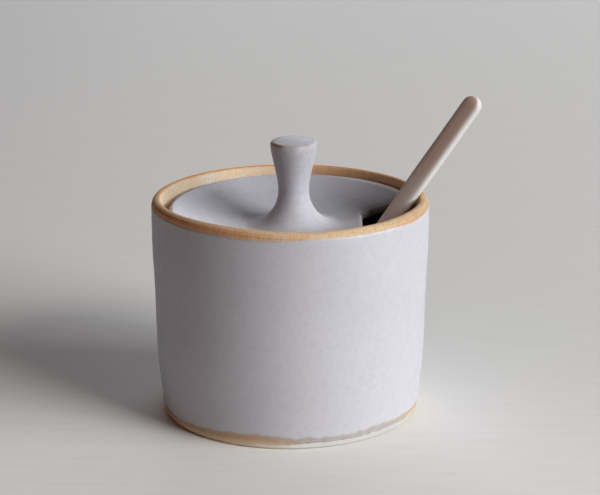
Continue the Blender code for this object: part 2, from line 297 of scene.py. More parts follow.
# Lamps: angle round the jar, rise and roll in degrees, width and height in metres, watts and colour.
LAMPS = {
    "near_window": (-26.5, 20.5, -10, 2.4, 0.5, 89, (0.95, 0.985, 1.0)),
    "high_window": (-40, 36, 0, 1.2, 0.6, 25, (1.0, 0.93, 0.85)),
    "back_window": (79, 14, 0, 3.4, 1.0, 44, (0.92, 0.95, 1.0)),
    "warm_room": (230, 40, 0, 1.4, 1.4, 2.8, (1.0, 0.25, 0.05)),
}
LAMP_DISTANCE = 3.0
WORLD_LIGHT = (1.0, 0.95, 0.91)
WORLD_STRENGTH = 0.007
BACKDROP = (0.54, 0.53, 0.52)

# Ground, in metres.
GROUND_REACH = 6.0
GROUND_DROP = 0.0002
# Floor colours, with painted light: brighter in front, darker far back and to the left.
GROUND_NEAR = (0.94, 0.935, 0.925)
GROUND_FAR = (0.82, 0.814, 0.8)
GROUND_LEFT = (0.7, 0.695, 0.695)
GROUND_BRUSHED = (0.66, 0.655, 0.65)

# Glaze and clay.
JAR_GLAZE = ((0.55, 0.543, 0.595), (0.57, 0.565, 0.615))
LID_GLAZE = ((0.55, 0.56, 0.645), (0.57, 0.58, 0.665))
GLAZE_SHADE = (0.48, 0.47, 0.51)
GLAZE_FLECK = (0.44, 0.42, 0.45)
THIN_GLAZE = (0.45, 0.33, 0.25)
GOLDEN_GLAZE = (0.68, 0.5, 0.33)
IRON_STOPS = ((0.6, (0.4, 0.36, 0.335)), (0.8, (0.51, 0.32, 0.19)), (1.0, (0.2, 0.12, 0.08)))
CLAY_STOPS = (
    (0.0, (0.78, 0.775, 0.755)),
    (0.2, (0.71, 0.615, 0.485)),
    (0.35, (0.8, 0.58, 0.37)),
    (0.75, (0.76, 0.37, 0.165)),
    (1.0, (0.68, 0.25, 0.1)),
)
CLAY_GRIT = (0.6, 0.47, 0.33)
CLAY_DARK_STREAK = (0.42, 0.21, 0.1)
CLAY_PALE_STREAK = (0.82, 0.67, 0.5)
CLAY_PEPPER = (0.36, 0.19, 0.09)
# A dark colour for dirt and for painted shade, and a pale one for chips and for painted highlight.
DIRT_AND_SHADE = (0.045, 0.033, 0.026)
CHIP_AND_HIGHLIGHT = (0.76, 0.73, 0.72)
CLAY_ROUGHNESS = 0.88

# Wood.
WOOD = (0.67, 0.5, 0.425)
WOOD_GRAIN = (0.61, 0.43, 0.355)
WOOD_TINT = (0.62, 0.44, 0.365)
WOOD_PORES = (0.52, 0.35, 0.26)
# Paler wood: low on the handle for painted light reflected from the jar, and on the narrow sides, sanded and
# with painted highlight.
WOOD_REFLECTED_LIGHT = (0.79, 0.69, 0.63)
WOOD_SIDE = (0.68, 0.675, 0.67)


def smoothstep(low, high, value):
    share = np.clip((value - low) / (high - low), 0, 1)
    return share * share * (3 - 2 * share)


def bell(distance, width):
    return np.exp(-((distance / width) ** 2))


def arc(centre, radius, start_deg, end_deg, count):
    """Points of an arc in a section's (radius, height) plane or in a plan."""
    angles = np.radians(np.linspace(start_deg, end_deg, count + 1))
    return np.stack([centre[0] + radius * np.cos(angles), centre[1] + radius * np.sin(angles)], axis=1)


def line(start, end, count):
    return np.linspace(start, end, count + 1)


def bezier(first, near_first, near_last, last, count):
    t = np.linspace(0, 1, count + 1)[:, None]
    u = 1 - t
    corners = [np.array(point, float) for point in (first, near_first, near_last, last)]
    return u**3 * corners[0] + 3 * u * u * t * corners[1] + 3 * u * t * t * corners[2] + t**3 * corners[3]


def joined(*stretches):
    """One run of points, without the ones that repeat where two stretches meet."""
    points = np.concatenate(stretches)
    keep = np.ones(len(points), bool)
    keep[1:] = np.linalg.norm(np.diff(points, axis=0), axis=1) > 1e-6
    return points[keep]


def ring_noise(angles, frequency, seed):
    """Smooth noise round a ring, about -1 to 1, with the given count of bumps."""
    radius = frequency / (2 * math.pi)
    return np.array([
        noise.noise(Vector((radius * math.cos(a), radius * math.sin(a), seed))) for a in angles
    ])


def round_jar(angles, table):
    """Values at angles in radians, between the ones that a table gives at degrees round the jar."""
    degrees, values = zip(*table)
    return np.interp(np.degrees(angles), degrees, values, period=360)


def turned_normals(section):
    """Outward directions of a half section that runs from the axis below, up its outside and back."""
    along = np.gradient(section, axis=0)
    along /= np.linalg.norm(along, axis=1)[:, None]
    return np.stack([along[:, 1], -along[:, 0]], axis=1)


def make_piece(name, rings, tips, attributes, material, inside_out=False, place=Matrix.Identity(4)):
    """A closed mesh through rings of points, with a tip at each end. Attributes are one value a point.

    Rings that run the other way round give faces that look inwards, which inside_out turns over.
    """
    count, size = rings.shape[:2]
    points = np.concatenate([rings.reshape(-1, 3), np.array(tips)]) * MM
    index = np.arange(count * size).reshape(count, size)
    after = np.roll(index, -1, axis=1)
    quads = np.stack([index[:-1], after[:-1], after[1:], index[1:]], axis=-1).reshape(-1, 4)
    first, last = count * size, count * size + 1
    fan_first = [(first, b, a) for a, b in zip(index[0], after[0])]
    fan_last = [(last, a, b) for a, b in zip(index[-1], after[-1])]
    mesh = bpy.data.meshes.new(name)
    mesh.from_pydata(points.tolist(), [], quads.tolist() + fan_first + fan_last)
    for title, values in attributes.items():
        layer = mesh.attributes.new(title, "FLOAT", "POINT")
        ends = [values[0].mean(), values[-1].mean()]
        layer.data.foreach_set("value", np.concatenate([values.ravel(), ends]).astype(np.float32))
    if inside_out:
        mesh.flip_normals()
    mesh.shade_smooth()
    mesh.materials.append(material)
    piece = bpy.data.objects.new(name, mesh)
    piece.matrix_world = place
    bpy.context.scene.collection.objects.link(piece)
    return piece


class Nodes:
    """A material's nodes, with short ways to add and join them."""

    def __init__(self, name):
        self.material = bpy.data.materials.new(name)
        self.material.use_nodes = True
        self.tree = self.material.node_tree
        self.shader = self.tree.nodes["Principled BSDF"]

    def add(self, kind, **settings):
        node = self.tree.nodes.new("ShaderNode" + kind)
        for key, value in settings.items():
            setattr(node, key, value)
        return node

    def put(self, socket, value):
        """Joins a socket to another, or sets it to a constant."""
        if isinstance(value, bpy.types.NodeSocket):
            self.tree.links.new(value, socket)
        else:
            socket.default_value = value

    def place(self):
        return self.add("TexCoord").outputs["Object"]

    def attribute(self, name):
        return self.add("Attribute", attribute_name=name).outputs["Fac"]

    def stretched(self, vector, scale):
        node = self.add("Mapping")
        self.put(node.inputs["Vector"], vector)
        node.inputs["Scale"].default_value = scale
        return node.outputs["Vector"]

    def noise(self, vector, scale, detail=3.0, roughness=0.5):
        node = self.add("TexNoise")
        self.put(node.inputs["Vector"], vector)
        node.inputs["Scale"].default_value = scale
        node.inputs["Detail"].default_value = detail
        node.inputs["Roughness"].default_value = roughness
        return node.outputs["Fac"]

    def math(self, operation, first, second):
        node = self.add("Math", operation=operation)
        self.put(node.inputs[0], first)
        self.put(node.inputs[1], second)
        return node.outputs[0]

    def ramp(self, value, low, high, to_low=0.0, to_high=1.0):
        node = self.add("MapRange", interpolation_type="SMOOTHSTEP")
        self.put(node.inputs["Value"], value)
        limits = {"From Min": low, "From Max": high, "To Min": to_low, "To Max": to_high}
        for title, number in limits.items():
            node.inputs[title].default_value = number
        return node.outputs["Result"]

    def mix(self, share, first, second):
        node = self.add("Mix", data_type="RGBA")
        self.put(node.inputs[0], share)
        self.put(node.inputs[6], first if isinstance(first, bpy.types.NodeSocket) else (*first, 1))
        self.put(node.inputs[7], second if isinstance(second, bpy.types.NodeSocket) else (*second, 1))
        return node.outputs[2]

    def colours(self, value, stops):
        node = self.add("ValToRGB")
        self.put(node.inputs["Fac"], value)
        steps = node.color_ramp.elements
        for place, _ in stops[2:]:
            steps.new(place)
        for step, (place, colour) in zip(steps, sorted(stops)):
            step.position = place
            step.color = (*colour, 1)
        return node.outputs["Color"]

    def bump(self, height, depth, normal=None):
        node = self.add("Bump")
        self.put(node.inputs["Height"], height)
        node.inputs["Distance"].default_value = depth
        if normal:
            self.put(node.inputs["Normal"], normal)
        return node.outputs["Normal"]


def stoneware(name, deep, pale):
    """Satin lilac-grey glaze over buff clay, by the depth of glaze and the toasting of each point."""
    n = Nodes(name)
    place = n.place()
    depth = n.attribute("glaze_mm")
    toast = n.attribute("toast")
    iron = n.attribute("iron")
    dirt_and_shade = n.attribute("dirt_and_shade")
    chips_and_highlights = n.attribute("chips_and_highlights")
    wiped = n.attribute("wiped")
    clouds = n.noise(place, 38, 3)
    mottle = n.noise(place, 240, 4, 0.6)
    ragged = n.noise(place, 520, 4, 0.6)
    grit = n.noise(place, 1300, 2)
    grain = n.noise(place, 2600, 3, 0.6)
    streaks = n.noise(n.stretched(place, (1500, 1500, 400)), 1, 2)

    glaze = n.mix(n.ramp(clouds, 0.3, 0.7), deep, pale)
    glaze = n.mix(n.ramp(ragged, 0.4, 0.7, 0, 0.4), glaze, GLAZE_SHADE)
    glaze = n.mix(n.ramp(grain, 0.45, 0.75, 0, 0.36), glaze, GLAZE_FLECK)
    frayed = n.math("ADD", depth, n.math("MULTIPLY", n.math("SUBTRACT", ragged, 0.5), 0.9))
    thin = n.math("MULTIPLY", n.ramp(frayed, 0.8, 0.0), 0.2)
    glaze = n.mix(thin, glaze, THIN_GLAZE)
    rust = n.colours(iron, IRON_STOPS)
    golden = n.math("MULTIPLY", n.ramp(frayed, 1.6, 0.2), n.ramp(iron, 0.64, 0.78))
    rust = n.mix(golden, rust, GOLDEN_GLAZE)
    broken = n.math("MULTIPLY", iron, n.ramp(ragged, 0.3, 0.6, 0.75, 1.15))
    glaze = n.mix(n.ramp(broken, 0.0, 0.75), glaze, rust)

    cooked = n.math("ADD", toast, n.math("MULTIPLY", n.math("SUBTRACT", mottle, 0.5), 0.5))
    clay = n.colours(cooked, CLAY_STOPS)
    speckled = n.ramp(toast, 0.0, 0.3)
    clay = n.mix(n.math("MULTIPLY", n.ramp(grit, 0.48, 0.66, 0, 0.45), speckled), clay, CLAY_GRIT)
    clay = n.mix(n.math("MULTIPLY", n.ramp(streaks, 0.5, 0.75, 0, 0.34), wiped), clay, CLAY_DARK_STREAK)
    clay = n.mix(n.math("MULTIPLY", n.ramp(streaks, 0.5, 0.3, 0, 0.3), wiped), clay, CLAY_PALE_STREAK)
    clay = n.mix(n.math("MULTIPLY", n.ramp(grain, 0.52, 0.7, 0, 0.45), speckled), clay, CLAY_PEPPER)

    glazed = n.ramp(frayed, -0.12, 0.12)
    # Dirt and painted shade darken the skin; pale chips and painted highlight lighten it.
    skin = n.mix(n.math("MULTIPLY", dirt_and_shade, 0.32), n.mix(glazed, clay, glaze), DIRT_AND_SHADE)
    skin = n.mix(n.ramp(chips_and_highlights, 0.0, 1.0, 0, 0.9), skin, CHIP_AND_HIGHLIGHT)
    n.put(n.shader.inputs["Base Color"], skin)
    satin = n.ramp(mottle, 0.2, 0.8, 0.58, 0.68)
    dry = n.add("Mix")
    n.put(dry.inputs[0], glazed)
    dry.inputs[2].default_value = CLAY_ROUGHNESS
    n.put(dry.inputs[3], satin)
    n.put(n.shader.inputs["Roughness"], dry.outputs[0])
    n.shader.inputs["Specular IOR Level"].default_value = 0.25
    n.put(n.shader.inputs["Normal"], n.bump(grain, 0.00003, n.bump(mottle, 0.00005)))
    return n.material


def pale_wood():
    """Pale sanded wood with its grain along the handle, paler on the narrow sides, sanded and with painted
    highlight, and paler low on the handle with painted light reflected from the jar and its lid.
    """
    n = Nodes("pale_wood")
    place = n.place()
    side = n.attribute("side")
    painted_light = n.attribute("painted_light")
    grain = n.noise(n.stretched(place, (900, 900, 22)), 1, 4, 0.6)
    pores = n.noise(n.stretched(place, (2600, 2600, 90)), 1, 3, 0.6)
    tint = n.noise(n.stretched(place, (120, 120, 12)), 1, 2)
    wood = n.mix(n.ramp(grain, 0.35, 0.68), WOOD, WOOD_GRAIN)
    wood = n.mix(n.ramp(tint, 0.4, 0.7, 0, 0.4), wood, WOOD_TINT)
    wood = n.mix(n.ramp(pores, 0.58, 0.75, 0, 0.5), wood, WOOD_PORES)
    # Painted light reflected from the jar makes the wood paler low on the handle.
    wood = n.mix(n.math("MULTIPLY", painted_light, 0.95), wood, WOOD_REFLECTED_LIGHT)
    # The narrow sides are paler: sanded, and with painted highlight on the lit side.
    wood = n.mix(n.math("MULTIPLY", side, 0.9), wood, WOOD_SIDE)
    n.put(n.shader.inputs["Base Color"], wood)
    n.put(n.shader.inputs["Roughness"], n.ramp(grain, 0.3, 0.7, 0.55, 0.7))
    n.put(n.shader.inputs["Normal"], n.bump(pores, 0.00005, n.bump(grain, 0.00006)))
    return n.material


def side_radius(height):
    """Outside radius of the jar: nearly upright under the rim, drawn in at the foot, with one slow wave."""
    below_rim = np.clip(1 - height / JAR_HEIGHT, 0, 1)
    plain = RIM_RADIUS - (RIM_RADIUS - FOOT_RADIUS) * below_rim**SIDE_CURVE
    turn = np.clip((height - SIDE_WAVE_LOW) / (SIDE_WAVE_HIGH - SIDE_WAVE_LOW), 0, 1)
    return plain + SIDE_WAVE * np.sin(2 * math.pi * turn)


def jar_section():
    """Half section of the jar, from the foot's middle up the outside and down the inside."""
    lip_z = JAR_HEIGHT - LIP_OUTER_ROUND
    slope_z = LEDGE_LOW_Z - LEDGE_SLOPE
    floor_top = FLOOR + FLOOR_ROUND
    foot_r = side_radius(FOOT_CHAMFER)
    low = np.linspace(FOOT_CHAMFER, FINE_FOOT, 26)
    side = np.linspace(FINE_FOOT, JAR_HEIGHT - FINE_RIM, 62)
    high = np.linspace(JAR_HEIGHT - FINE_RIM, lip_z, 16)
    upright = np.concatenate([low, side[1:], high[1:]])
    inside = np.linspace(slope_z, floor_top, 30)
    inner_r = side_radius(floor_top) - WALL - FLOOR_ROUND
    return joined(
        line((FIRST_RING, 0), (foot_r - FOOT_CHAMFER, 0), 10),
        line((foot_r - FOOT_CHAMFER, 0), (foot_r, FOOT_CHAMFER), 6),
        np.stack([side_radius(upright), upright], axis=1),
        arc((RIM_RADIUS - LIP_OUTER_ROUND, lip_z), LIP_OUTER_ROUND, 0, 90, 18),
        line((RIM_RADIUS - LIP_OUTER_ROUND, JAR_HEIGHT), (GALLERY_RADIUS + LIP_INNER_ROUND, JAR_HEIGHT), 6),
        arc((GALLERY_RADIUS + LIP_INNER_ROUND, JAR_HEIGHT - LIP_INNER_ROUND), LIP_INNER_ROUND, 90, 180, 8),
        line((GALLERY_RADIUS, JAR_HEIGHT - LIP_INNER_ROUND), (GALLERY_RADIUS, LEDGE_Z + GALLERY_ROUND), 14),
        arc((GALLERY_RADIUS - GALLERY_ROUND, LEDGE_Z + GALLERY_ROUND), GALLERY_ROUND, 360, 270, 5),
        line((GALLERY_RADIUS - GALLERY_ROUND, LEDGE_Z), (LEDGE_RADIUS + LEDGE_ROUND, LEDGE_Z), 10),
        arc((LEDGE_RADIUS + LEDGE_ROUND, LEDGE_Z - LEDGE_ROUND), LEDGE_ROUND, 90, 180, 6),
        arc((LEDGE_RADIUS + LEDGE_ROUND, LEDGE_LOW_Z + LEDGE_ROUND), LEDGE_ROUND, 180, 225, 4),
        np.stack([side_radius(inside) - WALL, inside], axis=1),
        arc((inner_r, floor_top), FLOOR_ROUND, 0, -90, 14),
        line((inner_r, FLOOR), (FIRST_RING, FLOOR), 20),
    )


def make_jar(material):
    section = jar_section()
    out = turned_normals(section)
    angles = np.linspace(0, 2 * math.pi, JAR_STEPS, endpoint=False)
    radius, height = section[:, :1], section[:, 1:]
    ridge = np.argmax(height)
    row = np.arange(len(section))[:, None]
    outside = (row <= ridge) & (height > 0.01)
    inside = row > ridge
    upper_half = height > JAR_HEIGHT / 2
    under_ledge = inside & (height < LEDGE_LOW_Z)

    brown_line = round_jar(angles, FOOT_BROWN_LINE)
    brown_line = brown_line + 0.4 * ring_noise(angles, 60, 8.5) + 0.35 * ring_noise(angles, 150, 5.5)
    cream_line = round_jar(angles, FOOT_CREAM_LINE) + 0.3 * ring_noise(angles, 40, 2.5)
    rim_line = JAR_HEIGHT - round_jar(angles, RIM_BARE) + 0.15 * ring_noise(angles, 30, 4.5)
    inner_line = LEDGE_LOW_Z - INSIDE_GLAZE_DROP + 0.5 * ring_noise(angles, 20, 6.5)

    glaze = np.where(outside, np.minimum(height - cream_line, rim_line - height), JAR_BARE)
    glaze = np.where(under_ledge, inner_line - height, glaze)
    bare = smoothstep(0.1, -0.3, glaze)

    fade_inside = smoothstep(LEDGE_Z + GALLERY_ROUND, JAR_HEIGHT, height)
    fade_outside = smoothstep(RIM_RISE_FROM, JAR_HEIGHT, height)
    nearby = [round_jar(angles + math.radians(step), RIM_RISE) for step in range(-10, 11, 2)]
    rise = np.where(inside, fade_inside, fade_outside) * np.mean(nearby, axis=0)

    rings = sum(
        depth * np.sin(height * waves + turns * angles + start) for depth, waves, turns, start in WALL_LINES
    )
    rings = rings * smoothstep(4, 9, height) * smoothstep(JAR_HEIGHT - 2, JAR_HEIGHT - 8, height)
    spiral = FLOOR_LINE_DEPTH * np.sin(radius * FLOOR_LINE_WAVES + angles) * smoothstep(2, 8, radius)
    floor = inside & (height < FLOOR + 0.01)
    lift = np.where(floor, spiral, np.where(outside | under_ledge, rings, 0))
    lift = lift + GLAZE_THICKNESS * smoothstep(-0.2, 0.35, glaze)

    on_rim = (height > JAR_HEIGHT - RIM_TOP_DEPTH) & (np.abs(radius - RIM_RADIUS) < RIM_WALL)
    on_side = smoothstep(JAR_HEIGHT - 0.15, JAR_HEIGHT - 0.9, height) * outside
    # Painted shade on the bare side of the rim, most round its right.
    dirt_and_shade = round_jar(angles, RIM_SIDE_SHADE) * on_side * bare * upper_half
    scored = [(RIM_RADIUS - radius, on_rim, *scored_line) for scored_line in RIM_TOP_LINES]
    scored += [(JAR_HEIGHT - height, outside * bare, *scored_line) for scored_line in RIM_SIDE_LINES]
    for away, where, place, depth, width, seed in scored:
        wander = place - 0.1 * ring_noise(angles, 9, seed + 0.5)
        share = bell(away - wander, width) * where
        breaks = 0.5 + 0.5 * smoothstep(-0.4, 0.5, ring_noise(angles, 34, seed + 10.5))
        dirt_and_shade = np.maximum(dirt_and_shade, share * breaks * round_jar(angles, RIM_GROOVES))
        lift = lift - depth * share

    lip = outside & upper_half | inside & (height > JAR_HEIGHT - EDGE_MARGIN)
    gallery = inside & (height > LEDGE_Z - EDGE_MARGIN) & ~lip
    foot = outside & ~upper_half
    # Painted shade on the foot's bare clay, most round its right.
    dirt_and_shade = np.maximum(dirt_and_shade, round_jar(angles, FOOT_SHADE) * foot * bare)
    # Painted shade low on the gallery's wall, where the spoon stands by it.
    gallery_shade_share = smoothstep(LEDGE_Z + GALLERY_SHADE_HIGH, LEDGE_Z + GALLERY_SHADE_LOW, height) * gallery
    dirt_and_shade = np.maximum(dirt_and_shade, GALLERY_SHADE_DARK * round_jar(angles, GALLERY_SHADE) * gallery_shade_share)
    rim_toast = round_jar(angles, RIM_TOAST) * (1 - on_side) + round_jar(angles, RIM_SIDE_TOAST) * on_side
    toast = np.where(lip, rim_toast, INSIDE_TOAST)
    toast = np.where(gallery, round_jar(angles, GALLERY_TOAST), toast)
    toast = np.where(foot, round_jar(angles, FOOT_TOAST), toast)

    foot_iron = round_jar(angles, FOOT_IRON) * smoothstep(brown_line + 0.7, brown_line - 0.6, height)
    rim_iron = round_jar(angles, RIM_IRON) * bell(rim_line - height, RIM_IRON_WIDTH)
    iron = np.where(outside, np.maximum(foot_iron, rim_iron), 0.0)
    patches = ring_noise(angles, 120, 7.5) + 0.7 * ring_noise(angles, 40, 9.5)
    # Pale chips along the glaze's edge under the rim, with painted highlight.
    chips_and_highlights = round_jar(angles, RIM_CHIPS_AND_HIGHLIGHT) * (0.55 + 0.45 * smoothstep(-0.6, 0.6, patches))
    chips_and_highlights = chips_and_highlights * bell(height - rim_line + RIM_PALE_DROP, RIM_PALE_WIDTH) * outside

    reach = radius + out[:, :1] * lift
    top = height + out[:, 1:] * lift + rise
    points = np.stack([reach * np.cos(angles), reach * np.sin(angles), top], axis=-1)
    tips = [(0, 0, 0), (0, 0, FLOOR)]
    attributes = {
        "glaze_mm": glaze,
        "toast": toast,
        "dirt_and_shade": dirt_and_shade,
        "iron": iron,
        "chips_and_highlights": chips_and_highlights,
        "wiped": np.broadcast_to(np.where(lip, WIPED, UNWIPED), glaze.shape),
    }
    return make_piece("stoneware_jar", points, tips, attributes, material)


def dish_top(radius):
    """Height of the lid's upper face above the underside of its edge."""
    across = np.clip((radius - DISH_INNER_RADIUS) / (LID_FLAT_RADIUS - DISH_INNER_RADIUS), 0, None)
    return DISH_FLOOR + DISH_DEPTH * across**DISH_CURVE


def dish_under(radius):
    flange = smoothstep(LID_STEP_RADIUS - LID_STEP_BLEND, LID_STEP_RADIUS + LID_STEP_BLEND, radius)
    return (dish_top(radius) - LID_WALL) * (1 - flange)


def lid_plan():
    """Outline of the lid with its notch: points, ways into the clay, angles, notch and back-wall shares."""
    end, half = NOTCH_END_X, NOTCH_HALF_WIDTH
    inner, outer = NOTCH_INNER_CORNER, NOTCH_OUTER_CORNER
    corner_x = math.sqrt((LID_RADIUS - outer) ** 2 - (half + outer) ** 2)
    corner_deg = math.degrees(math.atan2(half + outer, corner_x))
    bend, turn = (end + inner, half - inner), (corner_x, half + outer)
    # Each stretch: points, first and last angle, notch share and back-wall share, and the way into the clay.
    stretches = [
        (line((end, 0), (end, half - inner), 14), (0, 17), (1, 1), (0, 0), lambda p: 0 * p - (1, 0)),
        (arc(bend, inner, 180, 90, 14), (17, 30), (1, 1), (0, 1), lambda p: p - bend),
        (line((bend[0], half), (corner_x, half), 26), (30, 52), (1, 1), (1, 1), lambda p: 0 * p + (0, 1)),
        (arc(turn, outer, -90, corner_deg, 14), (52, 58), (1, 0), (1, 0), lambda p: turn - p),
        (arc((0, 0), LID_RADIUS, corner_deg, 180, 150), (58, 180), (0, 0), (0, 0), lambda p: -p),
    ]
    points, inwards, spread = [], [], []
    for run, *spans, towards in stretches:
        kept = slice(0, -1) if run is not stretches[-1][0] else slice(0, None)
        points.append(run[kept])
        inwards.append(towards(run)[kept])
        spread.append(np.stack([np.linspace(*span, len(run)) for span in spans], axis=1)[kept])
    points, inwards = np.concatenate(points), np.concatenate(inwards)
    angles, notch, wall = np.concatenate(spread).T
    inwards = inwards / np.linalg.norm(inwards, axis=1)[:, None]
    back = slice(-2, 0, -1)
    flip = np.array((1, -1))
    return (
        np.concatenate([points, points[back] * flip]),
        np.concatenate([inwards, inwards[back] * flip]),
        np.radians(np.concatenate([angles, -angles[back]])),
        np.concatenate([notch, notch[back]]),
        np.concatenate([wall, 0 * wall[back]]),
    )


def knob_section():
    """Half section of the knob from its top's middle to the dish, in radius and height."""
    rim_r = KNOB_TOP_RADIUS - KNOB_TOP_ROUND
    rim_z = KNOB_TOP - KNOB_TOP_ROUND
    side = rim_z - NECK_Z
    across = np.linspace(KNOB_FIRST_RING, rim_r, 12)
    fillet = (NECK_RADIUS + NECK_FILLET, DISH_FLOOR + NECK_FILLET)
    return joined(
        np.stack([across, KNOB_TOP + KNOB_CROWN * (1 - (across / rim_r) ** 2)], axis=1),
        arc((rim_r, rim_z), KNOB_TOP_ROUND, 90, 0, 10),
        bezier(
            (KNOB_TOP_RADIUS, rim_z),
            (KNOB_TOP_RADIUS - KNOB_INTURN, rim_z - side * KNOB_BEND),
            (NECK_RADIUS, NECK_Z + side * NECK_BEND),
            (NECK_RADIUS, NECK_Z),
            26,
        ),
        arc(fillet, NECK_FILLET, 180, FILLET_END_DEG, 24),
    )


def make_lid(material):
    plan, inwards, angles, notch, back_wall = lid_plan()
    around = np.stack([np.cos(angles), np.sin(angles)], axis=1)
    knob = knob_section()
    hub = knob[-1, 0] + HUB_MARGIN
    top_round = LID_EDGE_TOP_ROUND + (NOTCH_ROUND - LID_EDGE_TOP_ROUND) * notch
    top_round = top_round + (NOTCH_BACK_ROUND - NOTCH_ROUND) * smoothstep(0, 1, back_wall) * notch
    low_round = LID_EDGE_LOW_ROUND + (NOTCH_LOW_ROUND - LID_EDGE_LOW_ROUND) * notch
    rows, glaze, iron, chips_and_highlights, dirt_and_shade = [], [], [], [], []

    def add(flat, height, depth, broken=0.0, chip_and_highlight=0.0, dark=0.0):
        rows.append(np.column_stack([flat, np.broadcast_to(height, len(flat))]))
        glaze.append(np.broadcast_to(depth, len(flat)))
        iron.append(np.broadcast_to(broken, len(flat)))
        chips_and_highlights.append(np.broadcast_to(chip_and_highlight, len(flat)))
        dirt_and_shade.append(np.broadcast_to(dark, len(flat)))

    edge_patch = np.clip(round_jar(angles, KNOB_IRON) + 0.35 * ring_noise(angles, 17, 3.5), 0, 1)
    # Pale chips under the knob's top edge, with painted highlight.
    edge_pale = round_jar(angles, KNOB_CHIPS_AND_HIGHLIGHT) * smoothstep(0, 0.4, ring_noise(angles, 15, 6.5))
    edge_z = KNOB_TOP - KNOB_EDGE_DROP
    edge_r = KNOB_TOP_RADIUS - KNOB_EDGE_REACH
    wobble = 0.16 * ring_noise(angles, 5, 1.5) + 0.1 * ring_noise(angles, 12, 2.5)
    for r, z in knob:
        high = smoothstep(NECK_Z, KNOB_TOP, z)
        flat = around * (r + wobble * high * (r / KNOB_TOP_RADIUS))[:, None]
        at_edge = r > edge_r
        along_edge = bell(z - edge_z, KNOB_EDGE_WIDTH) * at_edge
        below_edge = bell(z - edge_z + KNOB_PALE_DROP, KNOB_PALE_WIDTH) * at_edge
        veil = (KNOB_VEIL + KNOB_VEIL_RISE * high) * (at_edge or z < KNOB_TOP - KNOB_EDGE_REACH)
        # The far side of the knob's top edge is made browner and darker.
        on_top = smoothstep(KNOB_TOP_RADIUS - BACK_EDGE_REACH, edge_r, r) * (z > edge_z - BACK_EDGE_DROP)
        back_edge = on_top * round_jar(angles, KNOB_BACK_EDGE)
        broken = np.maximum(np.maximum(along_edge * edge_patch, veil), BACK_EDGE_BROWN * back_edge)
        add(flat, z, FULL_GLAZE, broken, below_edge * edge_pale, BACK_EDGE_DARK * back_edge)

    # Painted shadow of the spoon and the rim on the dish beside the notch.
    def shadow_beside_notch(flat):
        beside = np.maximum(NOTCH_END_X + NOTCH_INNER_CORNER - flat[:, 0], 0)
        away = np.hypot(beside, flat[:, 1] - NOTCH_HALF_WIDTH)
        return NOTCH_DISH_SHADOW * np.exp(-away / NOTCH_SHADOW_REACH) * smoothstep(0, 4, flat[:, 1])

    inset = plan + inwards * top_round[:, None]
    in_notch = notch > 0.5
    cut_end = notch * (np.abs(plan[:, 1]) < NOTCH_HALF_WIDTH - NOTCH_INNER_CORNER)
    # Painted shadow on the notch's back wall.
    wall_shadow = NOTCH_WALL_SHADOW * back_wall
    glaze_edge = LID_GLAZE_RADIUS + 0.25 * ring_noise(angles, 40, 5.5)
    # Painted highlight along the lid's edge at its right back.
    edge_highlight = round_jar(np.arctan2(plan[:, 1], plan[:, 0]), LID_EDGE_HIGHLIGHT) * (notch < 0.01)
    for share in np.linspace(0, 1, DISH_RINGS):
        flat = around * hub * (1 - share) + inset * share
        r = np.linalg.norm(flat, axis=1)
        rings = DISH_LINE_DEPTH * np.sin(r * DISH_LINE_WAVES + np.arctan2(flat[:, 1], flat[:, 0]))
        ripple = rings * smoothstep(0, 0.2, share) * smoothstep(1, 0.9, share)
        painted_light = edge_highlight * smoothstep(0.94, 0.98, share)
        add(flat, dish_top(r) + ripple, glaze_edge - r, chip_and_highlight=painted_light, dark=shadow_beside_notch(flat))
    for turn in np.linspace(0, math.pi / 2, 11)[1:]:
        flat = plan + inwards * (top_round * (1 - math.sin(turn)))[:, None]
        r = np.linalg.norm(flat, axis=1)
        top = dish_top(np.minimum(r, LID_FLAT_RADIUS))
        depth = np.where(in_notch, NOTCH_TOP_GLAZE, glaze_edge - r)
        dark = np.maximum(wall_shadow * smoothstep(-0.1, 1.2, turn), shadow_beside_notch(flat))
        # Painted highlight on the notch's inner end.
        end_highlight = NOTCH_END_HIGHLIGHT * cut_end * smoothstep(0.2, 0.8, turn)
        painted_light = np.maximum(edge_highlight * smoothstep(1.0, 0.4, turn), end_highlight)
        add(flat, top - top_round * (1 - math.cos(turn)), depth, chip_and_highlight=painted_light, dark=dark)
    plan_r = np.linalg.norm(plan, axis=1)
    wall_top = dish_top(np.minimum(plan_r, LID_FLAT_RADIUS)) - top_round
    wall_low = dish_under(plan_r) + low_round
    for share in np.linspace(0, 1, 5)[1:]:
        depth = np.where(in_notch, NOTCH_WALL_GLAZE - NOTCH_WALL_GLAZE_FALL * share, LID_BARE)
        add(plan, wall_top + (wall_low - wall_top) * share, depth, dark=wall_shadow)
    for turn in np.linspace(0, math.pi / 2, 7)[1:]:
        flat = plan + inwards * (low_round * (1 - math.cos(turn)))[:, None]
        depth = np.where(in_notch, NOTCH_LOW_GLAZE, LID_BARE)
        add(flat, dish_under(plan_r) + low_round * (1 - math.sin(turn)), depth, dark=wall_shadow)
    low_inset = plan + inwards * low_round[:, None]
    for share in np.linspace(1, 0, DISH_RINGS)[1:]:
        flat = around * hub * (1 - share) + low_inset * share
        r = np.linalg.norm(flat, axis=1)
        depth = np.where(r < LID_STEP_RADIUS, LID_UNDER_GLAZE_RADIUS - r, LID_BARE)
        add(flat, dish_under(r), depth, dark=wall_shadow * smoothstep(0.9, 0.97, share))
    for r in np.linspace(hub, FIRST_RING, 14)[1:]:
        add(around * r, dish_under(r), FULL_GLAZE)

